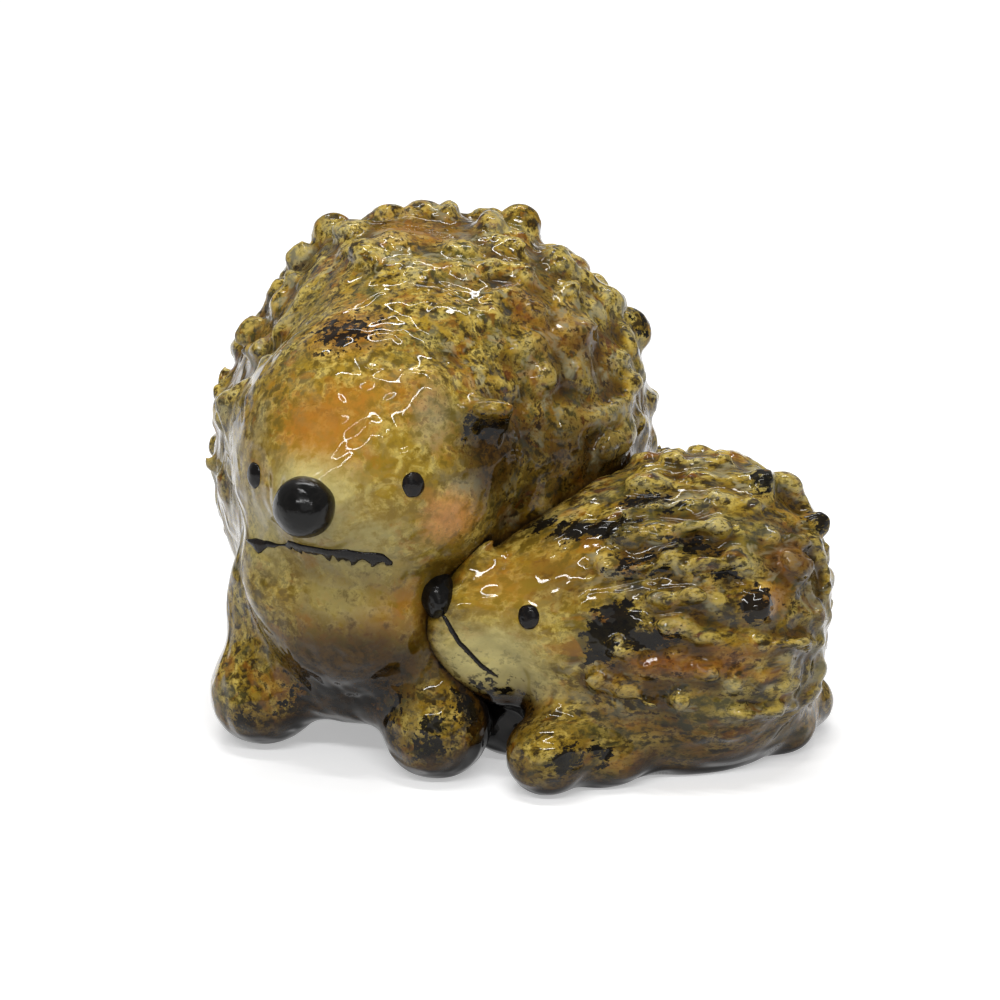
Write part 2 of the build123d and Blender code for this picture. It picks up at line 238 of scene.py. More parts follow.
def buildPointTree():  # clay points pulled up on a cloud of seats
    tree = bpy.data.node_groups.new("clayPoints", "GeometryNodeTree")
    face = tree.interface
    face.new_socket("Seats", in_out="INPUT", socket_type="NodeSocketGeometry")
    for name, kind, value in (
        ("Width", "NodeSocketFloat", 0.006),
        ("Height", "NodeSocketFloat", 0.003),
        ("Stretch", "NodeSocketFloat", 1.0),
        ("Unevenness", "NodeSocketFloat", 0.25),
        ("Lean", "NodeSocketFloat", 0.2),
        ("Scatter", "NodeSocketFloat", 0.001),
        ("Seed", "NodeSocketInt", 1),
    ):
        face.new_socket(name, in_out="INPUT", socket_type=kind).default_value = value
    face.new_socket("Glaze", in_out="INPUT", socket_type="NodeSocketMaterial")
    face.new_socket("Points", in_out="OUTPUT", socket_type="NodeSocketGeometry")
    make, wire = tree.nodes.new, tree.links.new
    given, result = make("NodeGroupInput").outputs, make("NodeGroupOutput")

    def attribute(name, kind):
        node = make("GeometryNodeInputNamedAttribute")
        node.data_type = kind
        node.inputs["Name"].default_value = name
        return node.outputs["Attribute"]

    def vectorMath(operation, a, b):
        node = make("ShaderNodeVectorMath")
        node.operation = operation
        wire(a, node.inputs[0])
        wire(b, node.inputs["Scale"] if operation == "SCALE" else node.inputs[1])
        return node.outputs[0]

    def multiply(a, b):
        node = make("ShaderNodeMath")
        node.operation = "MULTIPLY"
        wire(a, node.inputs[0])
        wire(b, node.inputs[1])
        return node.outputs[0]

    lean = make("FunctionNodeRandomValue")
    lean.data_type = "FLOAT_VECTOR"
    lean.inputs["Min"].default_value = (-1, -1, -1)
    lean.inputs["Max"].default_value = (1, 1, 1)
    wire(given["Seed"], lean.inputs["Seed"])
    seatOut = attribute("seatOut", "FLOAT_VECTOR")
    leaning = vectorMath("ADD", seatOut, vectorMath("SCALE", lean.outputs[0], given["Lean"]))
    upright = make("FunctionNodeAlignRotationToVector")
    upright.axis = "Z"
    wire(leaning, upright.inputs["Vector"])
    turned = make("FunctionNodeAlignRotationToVector")
    turned.axis, turned.pivot_axis = "X", "Z"
    wire(upright.outputs[0], turned.inputs["Rotation"])
    wire(attribute("seatAlong", "FLOAT_VECTOR"), turned.inputs["Vector"])
    uneven = make("FunctionNodeRandomValue")
    uneven.data_type = "FLOAT_VECTOR"
    wire(given["Seed"], uneven.inputs["Seed"])
    for socket, sign in (("Min", "SUBTRACT"), ("Max", "ADD")):
        node = make("ShaderNodeMath")
        node.operation = sign
        node.inputs[0].default_value = 1
        wire(given["Unevenness"], node.inputs[1])
        wire(node.outputs[0], uneven.inputs[socket])
    sizes = make("ShaderNodeCombineXYZ")
    wire(multiply(given["Width"], given["Stretch"]), sizes.inputs["X"])
    wire(given["Width"], sizes.inputs["Y"])
    wire(multiply(given["Height"], attribute("seatSize", "FLOAT")), sizes.inputs["Z"])
    bead = make("GeometryNodeMeshUVSphere")
    bead.inputs["Segments"].default_value = 10
    bead.inputs["Rings"].default_value = 6
    bead.inputs["Radius"].default_value = 0.5
    stray = make("GeometryNodeSetPosition")
    wire(given["Seats"], stray.inputs["Geometry"])
    wire(vectorMath("SCALE", lean.outputs[0], given["Scatter"]), stray.inputs["Offset"])
    place = make("GeometryNodeInstanceOnPoints")
    wire(stray.outputs[0], place.inputs["Points"])
    wire(bead.outputs["Mesh"], place.inputs["Instance"])
    wire(turned.outputs[0], place.inputs["Rotation"])
    wire(vectorMath("MULTIPLY", sizes.outputs[0], uneven.outputs[0]), place.inputs["Scale"])
    real = make("GeometryNodeRealizeInstances")
    wire(place.outputs[0], real.inputs[0])
    paint = make("GeometryNodeSetMaterial")
    wire(real.outputs[0], paint.inputs["Geometry"])
    wire(given["Glaze"], paint.inputs["Material"])
    wire(paint.outputs[0], result.inputs["Points"])
    return tree


def clayPoints(name, seats, settings, glaze):
    feet, outs, sizes, alongs = seats
    mesh = bpy.data.meshes.new(name)
    mesh.from_pydata([tuple(p) for p in feet], [], [])
    for key, ways in (("seatOut", outs), ("seatAlong", alongs)):
        seat = mesh.attributes.new(key, "FLOAT_VECTOR", "POINT")
        seat.data.foreach_set("vector", np.ravel(ways).astype(np.float32))
    storeMask(mesh, "seatSize", sizes)
    obj = link(name, mesh)
    modifier = obj.modifiers.new("clayPoints", "NODES")
    modifier.node_group = pointTree
    inputs = {**settings, "Glaze": glaze}
    for item in pointTree.interface.items_tree:
        if item.in_out == "INPUT" and item.name in inputs:
            modifier[item.identifier] = inputs[item.name]
    return bake(obj)


pointTree = buildPointTree()
print("clay point tree built")


def makeGroup(name, inputs, outputs):
    tree = bpy.data.node_groups.new(name, "ShaderNodeTree")
    for key, kind, value in inputs:
        socket = tree.interface.new_socket(key, in_out="INPUT", socket_type="NodeSocket" + kind)
        if value is not None:
            socket.default_value = value
    for key, kind in outputs:
        tree.interface.new_socket(key, in_out="OUTPUT", socket_type="NodeSocket" + kind)
    return tree


class Nodes:  # short way to lay out shader nodes in one tree
    def __init__(self, tree):
        self.tree = tree

    def put(self, kind, **values):
        node = self.tree.nodes.new(kind)
        for key, value in values.items():
            setattr(node, key, value)
        return node

    def feed(self, socket, value):
        if isinstance(value, bpy.types.NodeSocket):
            self.tree.links.new(value, socket)
        else:
            socket.default_value = value

    def math(self, operation, a, b, clamp=False):
        node = self.put("ShaderNodeMath", operation=operation, use_clamp=clamp)
        self.feed(node.inputs[0], a)
        self.feed(node.inputs[1], b)
        return node.outputs[0]

    def step(self, value, low, high):  # smooth ramp from 0 to 1
        node = self.put("ShaderNodeMapRange", interpolation_type="SMOOTHSTEP")
        self.feed(node.inputs["Value"], value)
        self.feed(node.inputs["From Min"], low)
        self.feed(node.inputs["From Max"], high)
        return node.outputs["Result"]

    def mix(self, factor, a, b, blend="MIX"):
        node = self.put("ShaderNodeMix", data_type="RGBA", blend_type=blend)
        self.feed(node.inputs["Factor"], factor)
        self.feed(node.inputs[6], a)
        self.feed(node.inputs[7], b)
        return node.outputs[2]

    def noise(self, place, size, detail, rough, twist=0.0):  # size of a blotch in metres
        node = self.put("ShaderNodeTexNoise", noise_dimensions="3D")
        self.feed(node.inputs["Vector"], place)
        node.inputs["Scale"].default_value = 1 / size
        node.inputs["Detail"].default_value = detail
        node.inputs["Roughness"].default_value = rough
        node.inputs["Distortion"].default_value = twist
        return node.outputs["Fac"]

    def shades(self, *look):  # the three colour channels of a noise
        split = self.put("ShaderNodeSeparateColor")
        fac = self.noise(*look)
        self.feed(split.inputs[0], fac.node.outputs["Color"])
        return split.outputs


glazeTones = {
    "umber": (0.045, 0.028, 0.006, 1),
    "ochre": (0.38, 0.24, 0.022, 1),
    "straw": (0.74, 0.57, 0.14, 1),
    "olive": (0.13, 0.12, 0.030, 1),
    "ash": (0.42, 0.38, 0.22, 1),
    "honey": (0.44, 0.16, 0.010, 1),
    "amber": (0.50, 0.19, 0.022, 1),
    "blush": (0.84, 0.38, 0.11, 1),
    "rust": (0.17, 0.036, 0.002, 1),
    "cream": (0.58, 0.50, 0.20, 1),
    "brown": (0.085, 0.038, 0.004, 1),
    "bark": (0.016, 0.008, 0.002, 1),
    "soot": (0.005, 0.0045, 0.0045, 1),
    "slate": (0.050, 0.050, 0.046, 1),
    # shadeTint: multiplied in as painted shade where the clay is sheltered
    "shadeTint": (0.38, 0.30, 0.20, 1),
}
formMasks = ("Rise", "Coat", "Shelter")
daubNames = ("Clean", "Cream", "Amber", "Blush", "Rust", "Ash", "Brown", "Soot")
paintMasks = formMasks + daubNames
glazeGrain = {  # blotch size in metres, detail, roughness, twist
    "mottle": (0.0018, 4, 0.66, 0.25),  # brush marks of a millimetre or two
    "daub": (0.0036, 4, 0.68, 0.5),
    "blotch": (0.0075, 3, 0.6, 0.6),
    "patch": (0.018, 2, 0.55, 0.8),
    "grit": (0.0011, 3, 0.7, 0.2),
    "tints": (0.0050, 3, 0.62, 0.5),  # three colour fields, independent of each other
    "waves": (0.0062, 0.4, 0.4, 0.9),  # slow swell of the gloss
    "chop": (0.0024, 0.5, 0.4, 0.6),
}
daubLayers = (  # mask, low and high edge, run, tooth, amount
    ("Ash", 0.05, 1.00, 0.6, 1.4, 0.6),
    ("Amber", 0.00, 1.05, 0.6, 1.4, 0.8),
    ("Rust", 0.10, 0.95, 0.6, 1.4, 0.8),
    ("Cream", 0.12, 0.95, 0.4, 1.0, 0.86),
    ("Blush", 0.05, 0.95, 0.5, 1.0, 0.85),
)


def buildGlazeGroup():  # mottled kiln glaze: colours run over the clay by its masks
    inputs = [("Place", "Vector", None)] + [(mask, "Float", 0.0) for mask in paintMasks]
    outputs = [("Colour", "Color"), ("Roughness", "Float"), ("Ripple", "Float")]
    tree = makeGroup("kilnGlaze", inputs, outputs)
    n = Nodes(tree)
    given = n.put("NodeGroupInput").outputs
    place = given["Place"]
    tone = glazeTones
    mottle, daub, blotch, patch, grit = [
        n.noise(place, *glazeGrain[key]) for key in ("mottle", "daub", "blotch", "patch", "grit")
    ]
    tints = n.shades(place, *glazeGrain["tints"])
    dirty = n.math("SUBTRACT", 1.0, n.math("MULTIPLY", given["Clean"], 0.85), True)

    def share(mask, amount):
        return n.math("MULTIPLY", mask, amount)

    def both(a, b):
        return n.math("MULTIPLY", a, b)

    def centred(value, reach):
        return n.math("MULTIPLY", n.math("SUBTRACT", value, 0.5), reach)

    def ragged(mask, low, high, run, tooth):  # a mask with a runny, gritty edge
        edge = n.math("ADD", centred(blotch, run), centred(mottle, tooth))
        return both(n.step(n.math("ADD", mask, edge), low, high), n.step(mask, 0.02, 0.25))

    def lay(colour, mask, amount, name):
        return n.mix(share(mask, amount), colour, tone[name])

    def darken(colour, mask, amount):  # brown with darker brush marks
        marks = n.mix(n.step(mottle, 0.36, 0.60), tone["bark"], tone["brown"])
        return n.mix(share(mask, amount), colour, marks)

    worn = n.math("ADD", share(given["Coat"], 0.75), 0.25)
    colour = n.mix(both(n.step(mottle, 0.58, 0.38), dirty), tone["ochre"], tone["umber"])
    colour = lay(colour, both(n.step(daub, 0.45, 0.62), n.step(mottle, 0.40, 0.56)), 0.75, "straw")
    colour = lay(colour, both(n.step(blotch, 0.47, 0.66), dirty), 0.5, "olive")
    colour = lay(colour, both(n.step(tints[0], 0.52, 0.62), worn), 0.6, "ash")
    colour = lay(colour, both(n.step(tints[0], 0.46, 0.37), given["Coat"]), 0.6, "slate")
    colour = lay(colour, both(n.step(mottle, 0.44, 0.62), n.step(patch, 0.48, 0.64)), 0.4, "honey")
    colour = lay(colour, n.step(tints[1], 0.56, 0.66), 0.4, "honey")
    colour = lay(colour, both(n.step(tints[2], 0.59, 0.67), given["Coat"]), 0.5, "rust")
    crest = both(n.step(given["Rise"], 0.05, 0.60), given["Coat"])
    colour = lay(colour, both(crest, n.step(mottle, 0.42, 0.58)), 0.6, "straw")
    colour = lay(colour, both(crest, n.step(daub, 0.50, 0.66)), 0.45, "ash")
    for mask, low, high, run, tooth, amount in daubLayers:
        colour = lay(colour, ragged(given[mask], low, high, run, tooth), amount, mask.lower())
    # brown daubs: brown glaze, and painted shade where daubs sit on the chest, chin and lower flank
    colour = darken(colour, ragged(given["Brown"], 0.05, 1.00, 0.5, 1.4), 0.94)
    hollow = n.step(n.math("SUBTRACT", centred(mottle, 1.6), given["Rise"]), 0.05, 0.55)
    colour = darken(colour, both(hollow, given["Coat"]), 0.85)
    dots = n.step(n.math("ADD", share(grit, 0.5), share(mottle, 0.5)), 0.52, 0.575)
    dense = n.step(daub, 0.38, 0.60)
    colour = lay(colour, both(both(dots, dense), dirty), 0.8, "soot")
    flecks = n.math("ADD", centred(grit, 1.6), centred(mottle, 2.2))
    # black daubs: black glaze patches, and painted shade where daubs sit under and between the animals
    blackDaubsAndShade = n.math("ADD", given["Soot"], centred(blotch, 0.7))
    black = n.step(n.math("ADD", blackDaubsAndShade, flecks), 0.38, 0.58)
    colour = lay(colour, both(black, n.step(given["Soot"], 0.02, 0.2)), 0.97, "soot")
    # painted shade: colour multiplied darker where other clay and the table hide the sky
    colour = n.mix(share(n.step(given["Shelter"], 0.18, 0.55), 0.7), colour, tone["shadeTint"], "MULTIPLY")
    # painted shade: brown, then black, in the most sheltered recesses
    deep = n.math("ADD", given["Shelter"], centred(mottle, 0.30))
    colour = darken(colour, n.step(deep, 0.46, 0.66), 0.92)
    colour = lay(colour, n.step(deep, 0.58, 0.74), 0.97, "soot")
    result = n.put("NodeGroupOutput")
    n.feed(result.inputs["Colour"], colour)
    n.feed(result.inputs["Roughness"], n.math("ADD", share(blotch, 0.05), 0.015))
    waves = n.noise(place, *glazeGrain["waves"])
    chop = share(both(n.noise(place, *glazeGrain["chop"]), given["Coat"]), 0.15)
    calm = n.math("SUBTRACT", 1.0, share(given["Ash"], 0.7), True)
    n.feed(result.inputs["Ripple"], both(n.math("ADD", waves, chop), calm))
    return tree


kilnGlaze = buildGlazeGroup()


glazeGloss = {"ior": 1.31, "relief": 0.0013}
darkGloss = {"ior": 1.32, "relief": 0.00015, "rough": 0.10, "cloudy": 0.20, "reliefSize": 0.6}


def emptyMaterial(name):
    material = bpy.data.materials.new(name)
    material.use_nodes = True
    material.node_tree.nodes.clear()
    return material, Nodes(material.node_tree)


def glossShader(n, colour, roughness, height, gloss):
    bump = n.put("ShaderNodeBump")
    bump.inputs["Strength"].default_value = 1.0
    bump.inputs["Distance"].default_value = gloss["relief"]
    n.feed(bump.inputs["Height"], height)
    shader = n.put("ShaderNodeBsdfPrincipled")
    shader.inputs["IOR"].default_value = gloss["ior"]
    n.feed(shader.inputs["Base Color"], colour)
    n.feed(shader.inputs["Roughness"], roughness)
    n.feed(shader.inputs["Normal"], bump.outputs["Normal"])
    n.feed(n.put("ShaderNodeOutputMaterial").inputs["Surface"], shader.outputs["BSDF"])


def glazeMaterial(name, turn, stretch):  # brush marks run along the turned X axis
    material, n = emptyMaterial(name)
    group = n.put("ShaderNodeGroup", node_tree=kilnGlaze)
    along = n.put("ShaderNodeMapping", vector_type="TEXTURE")
    along.inputs["Rotation"].default_value = (0, 0, math.radians(turn))
    along.inputs["Scale"].default_value = (stretch, 1, 1)
    n.feed(along.inputs["Vector"], n.put("ShaderNodeTexCoord").outputs["Object"])
    n.feed(group.inputs["Place"], along.outputs[0])
    for mask in paintMasks:
        painted = n.put("ShaderNodeAttribute", attribute_name=mask.lower())
        n.feed(group.inputs[mask], painted.outputs["Fac"])
    made = group.outputs
    glossShader(n, made["Colour"], made["Roughness"], made["Ripple"], glazeGloss)
    return material


def darkMaterial(name, tone, worn, size):  # black glaze of eyes, noses and mouths
    material, n = emptyMaterial(name)
    place = n.put("ShaderNodeTexCoord").outputs["Object"]
    cloud = n.noise(place, size, 3, 0.6, 0.4)
    colour = n.mix(n.step(cloud, 0.42, 0.70), tone, worn)
    roughness = n.math("ADD", n.math("MULTIPLY", cloud, darkGloss["cloudy"]), darkGloss["rough"])
    height = n.noise(place, size * darkGloss["reliefSize"], 2, 0.5)
    glossShader(n, colour, roughness, height, darkGloss)
    return material


motherGlaze = glazeMaterial("motherGlaze", 0, 1)
youngGlaze = glazeMaterial("youngGlaze", 20, 1.8)
noseGlaze = darkMaterial("noseGlaze", (0.004, 0.0038, 0.0035, 1), (0.010, 0.009, 0.008, 1), 0.003)
inkGlaze = darkMaterial("inkGlaze", (0.006, 0.005, 0.005, 1), (0.018, 0.013, 0.010, 1), 0.002)
print("glazes mixed")


daubFade = {"start": 1.35, "slope": 0.85}  # full in the middle, gone at about 1.6 radii


def daubMasks(mesh, daubs):  # soft strokes of colour laid on the skin, sizes in mm
    co = readPoints(mesh) / mm
    masks = {name.lower(): np.zeros(len(co)) for name in daubNames}
    for name, at, radii, strength in daubs:
        reach = np.linalg.norm((co - np.array(at)) / np.array(radii), axis=1)
        value = strength * np.clip(daubFade["start"] - daubFade["slope"] * reach, 0, 1)
        masks[name] = np.maximum(masks[name], value)
    for name, values in masks.items():
        storeMask(mesh, name, values)


def placesTree(places):
    tree = kdtree.KDTree(len(places))
    for index, place in enumerate(places):
        tree.insert(place, index)
    tree.balance()
    return tree


coatReach = {"near": 3 * mm, "far": 8 * mm}


def coatMask(mesh, feet):  # 1 where clay points stand, 0 on bare skin
    near, far = coatReach["near"], coatReach["far"]
    tree = placesTree(feet)
    reach = np.array([tree.find(v.co)[2] for v in mesh.vertices])
    return np.clip((far - reach) / (far - near), 0, 1)


def nearestValues(mesh, places, values):
    tree = placesTree(places)
    return np.array([values[tree.find(v.co)[1]] for v in mesh.vertices])


riseRules = {"passes": 60, "share": 0.8}


def riseMask(mesh):  # height over the smoothed skin, in mm: crests above 0, hollows below
    edges = readEdges(mesh)
    co = readPoints(mesh)
    smooth = co.copy()
    for step in range(riseRules["passes"]):
        smooth += (around(smooth, edges) - smooth) * riseRules["share"]
    return np.einsum("ij,ij->i", co - smooth, readNormals(mesh)) / mm


def rowDirections(feet, rows):  # direction along each row of points
    alongs = np.zeros_like(feet)
    for index, foot in enumerate(feet):
        mates = [i for i in range(len(feet)) if rows[i] == rows[index] and i != index]
        nearest = min(mates, key=lambda i: np.linalg.norm(feet[i] - foot), default=None)
        alongs[index] = (1, 0, 0) if nearest is None else feet[nearest] - foot
    return alongs


def surfaceOf(mesh):
    bm = bmesh.new()
    bm.from_mesh(mesh)
    tree = BVHTree.FromBMesh(bm)
    bm.free()
    return tree


shelterRules = {"rays": 14, "turn": 2.4, "lift": 0.8 * mm, "reach": 32 * mm, "blurs": 3, "own": 0.4}


def shelter(mesh, surfaces):  # share of the sky hidden by other clay and the table, 0 to 1
    count, reach, own = shelterRules["rays"], shelterRules["reach"], shelterRules["own"]
    turns = np.arange(count) * shelterRules["turn"]
    rises = (np.arange(count) + 0.5) / count
    sides = np.sqrt(1 - rises ** 2)
    rays = [Vector(r) for r in np.stack([sides * np.cos(turns), sides * np.sin(turns), rises], 1)]
    hidden = []
    for vert in mesh.vertices:
        upright = vert.normal.to_track_quat("Z", "Y").to_matrix()
        start = vert.co + vert.normal * shelterRules["lift"]
        hits = 0
        for ray in rays:
            way = upright @ ray
            if start.z + way.z * reach < 0 or any(s.ray_cast(start, way, reach)[0] for s in surfaces):
                hits += 1
        hidden.append(hits / count)
    edges = readEdges(mesh)
    hidden = np.array(hidden)
    for step in range(shelterRules["blurs"]):
        hidden = own * hidden + (1 - own) * around(hidden, edges)
    return hidden


def press(mesh, dents):  # places where the soft clay was pushed: at, reach and push in mm
    co = readPoints(mesh)
    moved = co.copy()
    for at, reach, push in dents:
        gap = np.linalg.norm(co / mm - np.array(at), axis=1) / reach
        moved += (np.clip(1 - gap ** 2, 0, 1) ** 2)[:, None] * np.array(push) * mm
    writePoints(mesh, moved)


reliefRules = {  # seed of each noise, its share on bare skin, height of the foot that stays flat
    "lumpSeed": 3,
    "lumpBare": 0.35,
    "pinchSeed": 8,
    "pinchBare": 0.12,
    "flatFoot": 4 * mm,
}


def roughen(mesh, settings, feet):  # hand-worked relief of the coat
    co = readPoints(mesh)
    out = readNormals(mesh)
    coat = coatMask(mesh, feet)
    relief = np.zeros(len(co))
    for kind, pattern in (("lump", ripple), ("pinch", billow)):
        bare = reliefRules[kind + "Bare"]
        shape = pattern(co, settings[kind + "Size"], reliefRules[kind + "Seed"])
        relief = relief + shape * (bare + (1 - bare) * coat) * settings[kind + "Height"]
    low = np.clip(co[:, 2] / reliefRules["flatFoot"], 0, 1)
    co = co + out * (relief * low)[:, None]
    co[:, 2] = np.maximum(co[:, 2], 0)
    writePoints(mesh, co)
    press(mesh, settings["dents"])


def dressedCast(body, dressings, settings):  # casting, applied pieces and pads as one lump of clay
    clay = [outerWall(body)] + [toMesh(mergedCopy(n), n) for n in dressings]
    clay += [pad(*p) for p in settings["pads"]]
    cast = voxelUnion(clay, settings["castVoxel"])
    poolGlaze(cast, settings["poolPasses"], poolRules["castWear"])
    return cast


def glazedSkin(name, cast, points, settings, glaze, feet, hidden):  # cast and points under one glaze
    skin = voxelUnion([cast] + points, settings["skinVoxel"])
    roughen(skin, settings, feet)
    poolGlaze(skin, settings["skinPasses"], poolRules["skinWear"])
    storeMask(skin, "coat", coatMask(skin, feet))
    storeMask(skin, "rise", riseMask(skin))
    storeMask(skin, "shelter", nearestValues(skin, readPoints(cast), hidden))
    daubMasks(skin, settings["daubs"])
    skin.shade_smooth()
    skin.materials.clear()
    skin.materials.append(glaze)
    skin.name = name
    print(name, "glazed:", len(skin.vertices), "vertices")
    return link(name, skin)


motherShape = {
    "castVoxel": 1.1 * mm,
    "skinVoxel": 0.8 * mm,
    "poolPasses": 60,
    "skinPasses": 14,
    "pads": [  # at, radii, turn
        ((-27, -20, 27), (20, 15, 20), -25),  # chest
        ((-32, -32, 31), (17, 11, 15), -25),  # throat
        ((-19, -28, 21), (11, 10, 16), -25),  # inside of the left leg
        ((-46, -16, 24), (8, 9, 18), -25),  # outside of the right leg
        ((-46.5, -21, 10.5), (10.8, 10.8, 10.4), 0),  # right paw
        ((-14.7, -35.5, 10), (10.6, 10.6, 10), 0),  # left paw
        ((-31, -26, 17), (14, 9, 11), -25),  # belly between the legs
        ((-21, -11, 75), (21, 15, 11), -25),  # brow
        ((-15.5, -35.5, 69), (4, 5, 10), 0),  # ridge before the ear
        ((-38, -47.2, 56.4), (4.9, 4.9, 4.9), 0),  # seat of the nose
        ((-42, -29, 38), (9, 9, 13), -25),  # throat on the right
        ((-4.5, -37.5, 71.5), (5.5, 3.4, 2.2), 0),  # rim of the left ear
    ],
    "hood": {  # smaller points round the face
        "rings": ((84, 1.1), (95, 1.6), (106, 2.0)),  # angle from the muzzle line, height in mm
        "count": 17,
        "first": -16,  # degrees round the muzzle line, from her left
        "spacing": 13,
        "bare": (50, 140),  # the brow has none
        "behindNose": 32.5,
    },
    "calm": ((-30, -22, 82), 24, 0.3),  # at, reach and least height of the points over the brow
    "points": {
        "Width": 6.6 * mm,
        "Height": 1.0,
        "Stretch": 1.1,
        "Unevenness": 0.45,
        "Lean": 0.3,
        "Scatter": 1.8 * mm,
        "Seed": 4,
    },
    "tallPoints": {
        "Width": 9.0 * mm,
        "Height": 1.7,
        "Stretch": 1.1,
        "Unevenness": 0.1,
        "Lean": 0.1,
        "Scatter": 0.0,
        "Seed": 2,
    },
    "dents": [  # at, reach, push
        ((-48, 6, 74), 30, (3.2, 0, -1.5)),  # her right shoulder
        ((-14, 10, 95), 34, (0, 0, -2.2)),  # crown
        ((-5.5, -38, 65.5), 6.5, (0, 3.6, 0)),  # left ear
    ],
    "lumpSize": 9 * mm,
    "lumpHeight": 0.8 * mm,
    "pinchSize": 6 * mm,
    "pinchHeight": 1.8 * mm,
    "daubs": [  # colour, at, radii, strength
        ("clean", (-32, -44, 56), (22, 16, 26), 1.0),
        ("clean", (-26, -42, 34), (18, 12, 12), 0.8),
        ("cream", (-38.5, -48, 56), (9.5, 9.5, 9.5), 1.0),
        ("cream", (-30, -47, 44), (13, 9, 7), 0.75),
        ("cream", (-34, -44, 37), (11, 7, 6), 0.65),
        ("cream", (-46, -36, 48), (7, 8, 9), 0.7),
        ("cream", (-27, -46, 50), (8, 6, 5), 0.6),
        ("amber", (-35.3, -41, 68.4), (8, 7.5, 7), 0.85),
        ("amber", (-30.8, -40.2, 71.9), (8, 7, 6), 0.6),
        ("amber", (-23, -38.7, 74), (9, 7, 5), 0.45),
        ("amber", (-31, -25.5, 82), (8, 8, 5), 0.6),
        ("amber", (-20, 8, 92), (9, 8, 5), 0.5),
        ("amber", (7.8, -11.8, 77.6), (8, 8, 6), 0.4),
        ("amber", (-22, -42, 33), (12, 8, 5), 0.5),
        ("blush", (-11.5, -42.5, 52), (5.5, 6, 5), 0.8),
        ("rust", (-14.4, 10, 92), (9, 9, 5), 0.55),
        ("rust", (2.3, -11.1, 83), (5, 5, 4), 0.5),
        ("rust", (15, -8.3, 72.5), (6, 6, 5), 0.5),
        ("ash", (-9.5, -39.5, 57.5), (4.5, 4, 2), 1.0),
        ("ash", (-15.7, -38.9, 70), (3.5, 4, 8), 0.7),
        ("ash", (-47, -32.8, 62), (3, 5, 12), 0.5),
        # pale grey-green on her right hood edge: grey-green glaze and painted reflection of the white
        # surroundings
        ("ash", (-54, -12, 55), (6, 14, 18), 0.5),
        # brown on the chest and her upper left leg: brown glaze and painted shade under the head
        ("brown", (-30, -38, 23), (14, 11, 10), 1.2),
        ("brown", (-14, -33, 27), (9, 8, 10), 1.0),
        ("brown", (-13, -38, 40), (6, 6, 7), 0.6),
        # brown under the mouth: painted shade on the chin
        ("brown", (-30, -46, 39.5), (15, 9, 6.5), 0.45),
        ("brown", (-3.5, -35, 62), (9, 7, 9), 1.1),
        # brown low on her left flank above the young: brown glaze and painted shade
        ("brown", (15, -26, 58), (18, 10, 9), 0.85),
        ("brown", (12, -14, 72), (14, 10, 11), 0.45),
        # black on the belly between the paws: painted shade
        ("soot", (-31, -34, 9), (12, 9, 10), 1.0),
        # black in the gap between her left leg and the young: painted shade
        ("soot", (-5, -32, 15), (6, 7, 12), 1.0),
        ("soot", (-4.5, -36, 67.5), (6, 4, 3.6), 0.7),
        # black lower in the gap between her left leg and the young: painted shade
        ("soot", (-5.5, -36, 15), (4, 6, 8), 1.0),
        ("soot", (-8, -40, 17), (3.6, 6, 7), 1.0),
        ("soot", (24, 13, 71), (4, 4, 3), 0.6),
        ("soot", (-50, -30.5, 7.5), (3.4, 3.4, 3.0), 0.65),
        ("soot", (-16.3, -45.3, 8.5), (3.3, 3.3, 3.3), 0.7),
        ("soot", (-15.5, -45, 13), (2.5, 2.5, 2), 0.65),
        ("soot", (-31, -25.5, 82), (7, 6, 4), 0.6),
    ],
}
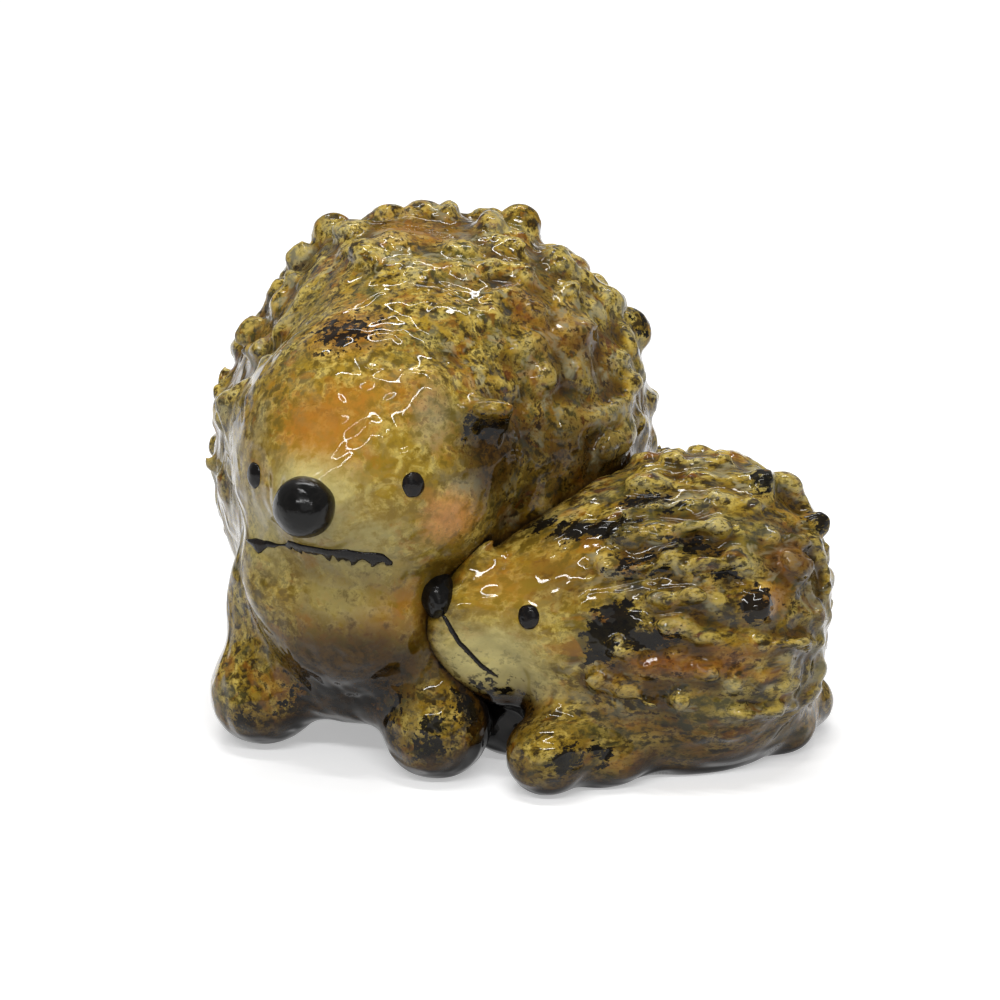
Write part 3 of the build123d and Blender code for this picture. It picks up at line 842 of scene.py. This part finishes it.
youngShape = {
    "castVoxel": 0.9 * mm,
    "skinVoxel": 0.62 * mm,
    "poolPasses": 50,
    "skinPasses": 12,
    "pads": [  # at, radii, turn, lean
        ((-1, -27, 8), (9, 8, 8), 0),  # breast
        ((51, -14, 5.5), (8.5, 9, 6), 0),  # rump foot
        ((48, -23, 5), (8, 9, 6), 0),
        ((34, -31, 6), (17, 9, 8), 20),  # skirt along the flank
        ((18, -34, 6), (12, 8, 8), 0),
        ((15, -40, 6), (10, 7.5, 7), 0),
        ((-8.5, -36.5, 23.2), (5.5, 12.5, 5.5), 90, 48),  # jaw
        ((-9.5, -36.8, 33.5), (5.6, 5, 5), 0),  # snout
        ((-8, -35.2, 41.8), (1.7, 7, 1.7), 90, -45),  # lute along the cheek
        ((43, -42, 35.5), (3.4, 3.4, 3.2), 0),  # large points
        ((45, -21, 52), (3.2, 3.2, 3.0), 0),
        ((55, -20, 43), (3.2, 3.2, 3.0), 0),
    ],
    "points": {
        "Width": 4.6 * mm,
        "Height": 1.1,
        "Stretch": 1.5,
        "Unevenness": 0.5,
        "Lean": 0.35,
        "Scatter": 1.4 * mm,
        "Seed": 9,
    },
    "dents": [],
    "lumpSize": 7 * mm,
    "lumpHeight": 0.7 * mm,
    "pinchSize": 5 * mm,
    "pinchHeight": 1.6 * mm,
    "daubs": [
        ("clean", (0, -40, 33), (14, 9, 13), 0.9),
        ("cream", (-5, -40, 25), (11, 8, 6.5), 1.0),
        ("cream", (1, -41, 20.5), (7, 6, 4.5), 1.0),
        ("amber", (7.6, -40.4, 41.5), (9, 8, 6), 0.4),
        ("amber", (-2, -38, 38), (7, 6, 5), 0.5),
        ("amber", (45.5, -41, 35.9), (6, 5, 3), 0.7),
        ("amber", (32, -47, 27), (14, 6, 3.5), 0.45),
        ("rust", (27, -49.5, 26), (10, 5, 3), 0.7),
        ("rust", (40, -46, 26), (8, 5, 3), 0.6),
        ("rust", (49, -34, 41), (7, 6, 4), 0.7),
        ("rust", (17, -46, 24), (5, 4, 5), 0.6),
        ("brown", (0, -40, 13), (9, 8, 5), 1.0),
        ("brown", (12, -36, 47), (14, 5, 3), 0.6),
        ("brown", (9, -41, 40), (9, 6, 5), 0.5),
        ("brown", (27, -43, 40), (16, 10, 11), 0.3),
        ("brown", (52, -33, 30), (6, 12, 20), 0.4),
        ("soot", (18.3, -46.9, 34.3), (4.5, 4, 3), 0.95),
        ("soot", (23.7, -47.3, 30.7), (5, 4, 2.4), 0.9),
        ("soot", (14.8, -46.6, 29.5), (3, 4, 4), 0.95),
        ("soot", (4, -31, 47), (3, 3, 2.5), 0.6),
        ("soot", (10, -35, 47), (5, 3, 2.2), 0.8),
        ("soot", (17, -36, 48), (6, 3, 2), 0.8),
        ("soot", (24, -31, 51), (6, 3, 2), 0.7),
        ("soot", (20, -41, 42), (7, 3, 2), 0.7),
        ("soot", (30, -38, 45), (6, 3, 2), 0.6),
        ("soot", (36, -40, 41), (5, 3, 2), 0.6),
        ("soot", (45, -23, 53), (3.5, 3.5, 3), 0.6),
        ("soot", (55.5, -22, 44), (3.5, 3.5, 3), 0.6),
        ("soot", (42.7, -43.2, 36.2), (3.2, 3.2, 3.2), 0.9),
        ("soot", (8.5, -51, 8.5), (3.4, 3.4, 3.6), 0.7),
        ("soot", (14, -45, 8), (3, 3, 3), 0.7),
        # black under the young's jaw: painted shadow
        ("soot", (-4, -36, 12), (8, 8, 8), 0.9),
    ],
}

limbs = ["mother_right_foreleg", "mother_left_foreleg", "mother_right_ear", "mother_left_ear"]
motherDressings = ["mother_right_eye", "mother_left_eye", "mother_mouth"] + limbs
motherCast = dressedCast("mother_body", motherDressings, motherShape)
youngCast = dressedCast("young_body", ["young_left_eye", "young_mouth", "young_left_paw"], youngShape)
print("casts pooled:", len(motherCast.vertices), len(youngCast.vertices))

castSurfaces = [surfaceOf(motherCast), surfaceOf(youngCast)]
motherShelter = shelter(motherCast, castSurfaces)
youngShelter = shelter(youngCast, castSurfaces)
print("shelter measured")

eyeLine = middle("mother_left_eye") - middle("mother_right_eye")
headForward = Vector((eyeLine.y, -eyeLine.x, 0)).normalized()
headLeft = Vector((-headForward.y, headForward.x, 0))
headMiddle = middle("mother_nose") - headForward * (motherShape["hood"]["behindNose"] * mm)


def hoodSeats():  # rings of smaller points round the face, where the coat begins
    hood = motherShape["hood"]
    bareFrom, bareTo = hood["bare"]
    feet, outs, sizes, alongs = [], [], [], []
    for ring, (polar, size) in enumerate(hood["rings"]):
        bend = math.radians(polar)
        for step in range(hood["count"]):
            turn = math.radians(hood["first"] + (step + ring % 2 / 2) * hood["spacing"])
            if bareFrom < math.degrees(turn) < bareTo:
                continue
            side = headLeft * math.cos(turn) + Vector((0, 0, 1)) * math.sin(turn)
            ray = headForward * math.cos(bend) + side * math.sin(bend)
            spot, out = castSurfaces[0].ray_cast(headMiddle, ray)[:2]
            feet.append(spot)
            outs.append(out)
            sizes.append(size * mm)
            alongs.append(side.cross(headForward))
    return [np.array(values) for values in (feet, outs, sizes, alongs)]


def rowSeats(prefix):
    feet, outs, sizes, rows = spineSeats(prefix)
    return feet, outs, sizes, rowDirections(feet, rows)


def calmed(feet, sizes):  # lower points over the brow
    at, reach, least = motherShape["calm"]
    gap = np.linalg.norm(feet / mm - np.array(at), axis=1) / reach
    return sizes * np.clip(least + (1 - least) * gap ** 2, least, 1)


feet, outs, sizes, alongs = [np.concatenate(parts) for parts in zip(rowSeats("mother_spine"), hoodSeats())]
coatSeats = (feet, outs, calmed(feet, sizes), alongs)
tallSeats = spineSeats("mother_tall")[:3]
tallSeats = (*tallSeats, np.tile((1.0, 0.0, 0.0), (len(tallSeats[0]), 1)))
motherPoints = [
    clayPoints("motherPoints", coatSeats, motherShape["points"], motherGlaze),
    clayPoints("tallPoints", tallSeats, motherShape["tallPoints"], motherGlaze),
]
motherSkin = glazedSkin("motherSkin", motherCast, motherPoints, motherShape, motherGlaze, feet, motherShelter)
youngSeats = rowSeats("young_spine")
youngPoints = [clayPoints("youngPoints", youngSeats, youngShape["points"], youngGlaze)]
youngSkin = glazedSkin("youngSkin", youngCast, youngPoints, youngShape, youngGlaze, youngSeats[0], youngShelter)

motherSurface = surfaceOf(motherSkin.data)
youngSurface = surfaceOf(youngSkin.data)


def glazedPiece(bm, name, glaze):
    mesh = toMesh(bm, name)
    mesh.shade_smooth()
    mesh.materials.append(glaze)
    return link(name, mesh)


def bead(name, at, out, radii, glaze, seed, lumps):  # slightly uneven bead of glaze, radii in mm
    bm = bmesh.new()
    turn = Vector(out).to_track_quat("Z", "Y").to_matrix().to_4x4()
    size = Matrix.Diagonal((*(r * mm for r in radii), 1))
    bmesh.ops.create_icosphere(bm, subdivisions=4, radius=1)
    for vert in bm.verts:
        vert.co *= 1 + lumps * noise.noise(vert.co * 1.6 + Vector((seed, 0, 0)))
    bmesh.ops.transform(bm, matrix=Matrix.Translation(at) @ turn @ size, verts=bm.verts)
    return glazedPiece(bm, name, glaze)


eyeSeat = {"sink": 0.25, "lumps": 0.08}  # share of an eye's stand that lies in the skin, unevenness
eyes = {  # node, skin, radii and shift in mm, seed
    "motherRightEye": ("mother_right_eye", motherSurface, (2.05, 2.4, 1.2), (1.4, -0.8, 0.7), 1),
    "motherLeftEye": ("mother_left_eye", motherSurface, (2.05, 2.4, 1.2), (0, 0, 0), 2),
    "youngLeftEye": ("young_left_eye", youngSurface, (2.1, 2.3, 1.2), (0, 0, 0), 3),
}
noses = {  # node, radii and shift in mm, seed, unevenness
    "motherNose": ("mother_nose", (5.6, 5.6, 5.9), (0.5, 0, 0.4), 5, 0.04),
    "youngNose": ("young_nose", (3.4, 4.2, 5.6), (-1.2, -2.2, -0.4), 7, 0.12),
}
features = {}
for name, (node, surface, radii, shift, seed) in eyes.items():
    spot, out = surface.find_nearest(middle(node) + Vector(shift) * mm)[:2]
    at = spot - out * (radii[2] * mm) * eyeSeat["sink"]
    features[name] = bead(name, at, out, radii, inkGlaze, seed, eyeSeat["lumps"])
for name, (node, radii, shift, seed, lumps) in noses.items():
    at = middle(node) + Vector(shift) * mm
    features[name] = bead(name, at, (0, -1, 0), radii, noseGlaze, seed, lumps)
print("eyes and noses set")


def spanOf(node):  # course of a mouth of the frame from end to end, along X
    tips, cuts = 4, 9  # points at each end, stretches between
    co = readPoints(nodes[node].data)
    order = np.argsort(co[:, 0])
    groups = [order[:tips], *np.array_split(order, cuts), order[-tips:]]
    return [Vector(co[g].mean(0)) for g in groups]


strokeRules = {"steps": 72, "sides": 8, "backOff": 0.05, "tooth": 0.3}


def mouthStroke(name, node, surface, look):  # stroke of ink glaze on the skin, ragged below
    steps, sides = strokeRules["steps"], strokeRules["sides"]
    towards = look["towards"]
    bm = bmesh.new()
    rings = []
    path = spanOf(node)
    path[0] += (path[0] - path[2]).normalized() * look["lead"]
    for step in range(steps + 1):
        t = step / steps * (len(path) - 1)
        index = min(int(t), len(path) - 2)
        along = (path[index + 1] - path[index]).normalized()
        at = path[index].lerp(path[index + 1], t - index)
        at.z += look["lift"] * (1 - step / steps)
        spot, out = surface.ray_cast(at - towards * strokeRules["backOff"], towards)[:2]
        if spot is None:
            spot, out = surface.find_nearest(at)[:2]
        across = out.cross(along).normalized()
        above = look["width"] / 2 * float(np.interp(step / steps, *zip(*look["profile"])))
        tooth = noise.noise(Vector((step * strokeRules["tooth"], look["seed"], 0)))
        below = above * (1 + look["jag"] * tooth)
        ring = []
        for side in range(sides):
            angle = 2 * math.pi * side / sides
            half = above if math.cos(angle) > 0 else below
            seat = surface.find_nearest(spot + across * half * math.cos(angle))[0]
            ring.append(bm.verts.new(seat + out * look["stand"] * math.sin(angle)))
        rings.append(ring)
    for a, b in zip(rings, rings[1:]):
        for side in range(sides):
            bm.faces.new((a[side], a[(side + 1) % sides], b[(side + 1) % sides], b[side]))
    bm.faces.new(rings[0][::-1])
    bm.faces.new(rings[-1])
    bmesh.ops.recalc_face_normals(bm, faces=bm.faces)
    return glazedPiece(bm, name, inkGlaze)


motherMouthLook = {
    "width": 2.6 * mm,
    "stand": 0.4 * mm,
    "lead": 2.0 * mm,
    "lift": 1.4 * mm,
    "jag": 1.9,
    "profile": [  # place along the stroke, share of its width
        (0, 0.15), (0.05, 0.8), (0.12, 0.7), (0.16, 0.12), (0.19, 0.12), (0.24, 0.9),
        (0.6, 1.0), (0.76, 1.35), (0.84, 0.9), (0.93, 1.2), (1, 0.3),
    ],
    "towards": -headForward,
    "seed": 2,
}
youngMouthLook = {
    "width": 0.9 * mm,
    "stand": 0.3 * mm,
    "lead": 0.0,
    "lift": 0.0,
    "jag": 0.4,
    "profile": [(0, 0.4), (0.1, 1), (0.9, 0.9), (1, 0.2)],
    "towards": Vector((0, 0.94, -0.34)),
    "seed": 5,
}
features["motherMouth"] = mouthStroke("motherMouth", "mother_mouth", motherSurface, motherMouthLook)
features["youngMouth"] = mouthStroke("youngMouth", "young_mouth", youngSurface, youngMouthLook)
print("mouths drawn")


def nodesOf(*prefixes):
    return sorted(n for n in nodes if n.startswith(prefixes))


stands = {
    motherSkin: ["mother_body"] + limbs + nodesOf("mother_spine", "mother_tall"),
    youngSkin: ["young_body", "young_left_paw"] + nodesOf("young_spine"),
    features["motherNose"]: ["mother_nose"],
    features["motherRightEye"]: ["mother_right_eye"],
    features["motherLeftEye"]: ["mother_left_eye"],
    features["motherMouth"]: ["mother_mouth"],
    features["youngNose"]: ["young_nose"],
    features["youngLeftEye"]: ["young_left_eye"],
    features["youngMouth"]: ["young_mouth"],
}
for piece, names in stands.items():
    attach(piece, "root")
    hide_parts(*names)
print("pieces ride the frame")

stage = {"floor": 4.0, "glow": 0.4, "shaded": 0.35, "seen": 0.86, "world": 0.28, "aim": (0, 0, 0.05)}
lights = {  # place, size, power
    "frontStrip": ((-0.06, -0.72, 0.75), (0.8, 0.036), 4.6),
    "backStrip": ((0.02, 0.50, 0.78), (0.7, 0.045), 2.8),
    "topStrip": ((-0.05, -0.15, 0.75), (0.42, 0.02), 1.7),
    "fillLight": ((0.25, -1.3, 0.55), (0.7, 0.5), 0.8),
}


def buildFloor():  # white to the eye and to reflections, greyer to bounced light
    bm = bmesh.new()
    bmesh.ops.create_grid(bm, x_segments=8, y_segments=8, size=stage["floor"] / 2)
    floor = link("floor", toMesh(bm, "floor"))
    material, n = emptyMaterial("paperFloor")
    diffuse = n.put("ShaderNodeBsdfDiffuse")
    glow = n.put("ShaderNodeEmission")
    glow.inputs["Color"].default_value = (1, 1, 1, 1)
    rays = n.put("ShaderNodeLightPath").outputs
    mirrored = n.math("MAXIMUM", rays["Is Glossy Ray"], rays["Is Transmission Ray"])
    seen = n.math("MAXIMUM", rays["Is Camera Ray"], mirrored)
    greys = [(stage[key], stage[key], stage[key], 1) for key in ("shaded", "seen")]
    n.feed(diffuse.inputs["Color"], n.mix(seen, *greys))
    n.feed(glow.inputs["Strength"], n.math("MULTIPLY", seen, stage["glow"]))
    both = n.put("ShaderNodeAddShader")
    n.feed(both.inputs[0], diffuse.outputs[0])
    n.feed(both.inputs[1], glow.outputs[0])
    n.feed(n.put("ShaderNodeOutputMaterial").inputs["Surface"], both.outputs[0])
    floor.data.materials.append(material)


def buildWorld():
    world = bpy.data.worlds.new("studio")
    bpy.context.scene.world = world
    world.use_nodes = True
    world.node_tree.nodes.clear()
    n = Nodes(world.node_tree)
    back = n.put("ShaderNodeBackground")
    back.inputs["Color"].default_value = (1, 1, 1, 1)
    back.inputs["Strength"].default_value = stage["world"]
    n.feed(n.put("ShaderNodeOutputWorld").inputs["Surface"], back.outputs[0])


def areaLight(name, at, size, power):
    lamp = bpy.data.lights.new(name, "AREA")
    lamp.shape = "RECTANGLE"
    lamp.size, lamp.size_y = size
    lamp.energy = power
    obj = link(name, lamp)
    obj.location = at
    obj.rotation_euler = (Vector(stage["aim"]) - Vector(at)).to_track_quat("-Z", "Y").to_euler()


view = {
    "elevation": 20.0,
    "distance": 1.0,
    "look": (0, 0, 0.045),
    "pixel": 0.000187,  # metres at the look point
    "width": 1000,  # pixels
    "shift": (17.2, 24.2),  # pixels
    "sensor": 36.0,
    "clip": (0.05, 50),
}


def buildCamera():
    tilt = math.radians(view["elevation"])
    back = Vector((0, -math.cos(tilt), math.sin(tilt)))
    up = Vector((0, math.sin(tilt), math.cos(tilt)))
    camera = bpy.data.cameras.new("camera")
    camera.sensor_width = view["sensor"]
    camera.lens = view["sensor"] * view["distance"] / (view["width"] * view["pixel"])
    camera.clip_start, camera.clip_end = view["clip"]
    obj = link("camera", camera)
    across, rise = (s * view["pixel"] for s in view["shift"])
    middleAt = Vector(view["look"]) + back * view["distance"]
    obj.location = middleAt - Vector((1, 0, 0)) * across - up * rise
    obj.rotation_euler = (math.pi / 2 - tilt, 0, 0)
    bpy.context.scene.camera = obj


buildFloor()
buildWorld()
for name, (at, size, power) in lights.items():
    areaLight(name, at, size, power)
buildCamera()
bpy.context.scene.view_settings.view_transform = "Standard"
print("stage, lights and camera set")
